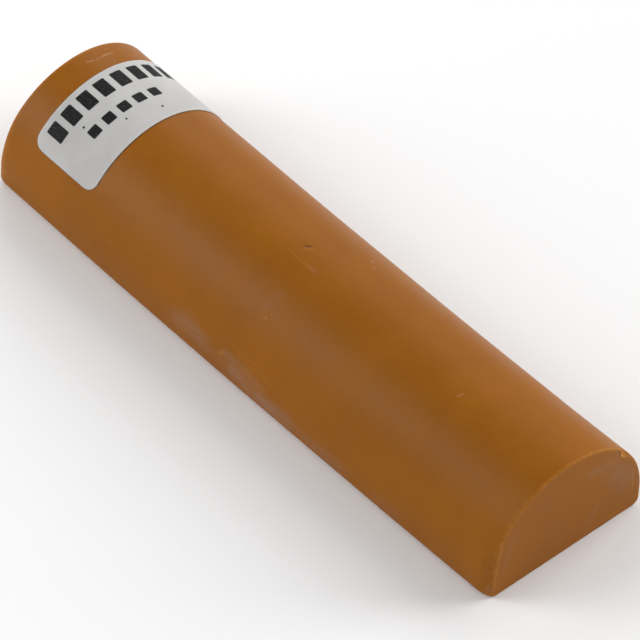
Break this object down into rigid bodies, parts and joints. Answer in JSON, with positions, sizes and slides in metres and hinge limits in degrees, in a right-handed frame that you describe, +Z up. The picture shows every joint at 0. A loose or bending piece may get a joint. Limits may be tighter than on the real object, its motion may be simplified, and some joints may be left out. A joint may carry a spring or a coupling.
{
  "type": "furniture repair wax stick",
  "caption": "Half-round stick of brown wax for filling scratches and dents in furniture, with a paper label wrapped over the crown near one end.",
  "frame": {"origin": "middle of the flat base, halfway along the stick and halfway across it", "axes": "+X along the stick, from the labelled end to the bare end; +Z up from the flat base to the crown; +Y across the stick, to the left of +X seen from above"},
  "size_m": [0.11, 0.03, 0.0185],
  "materials": {
    "wax": "satin",
    "adhesive": "gloss",
    "paper": "matte"
  },
  "bodies": {
    "root": {"wax_stick": "wax", "label_adhesive": "adhesive", "paper_label": "paper"}
  },
  "joints": []
}
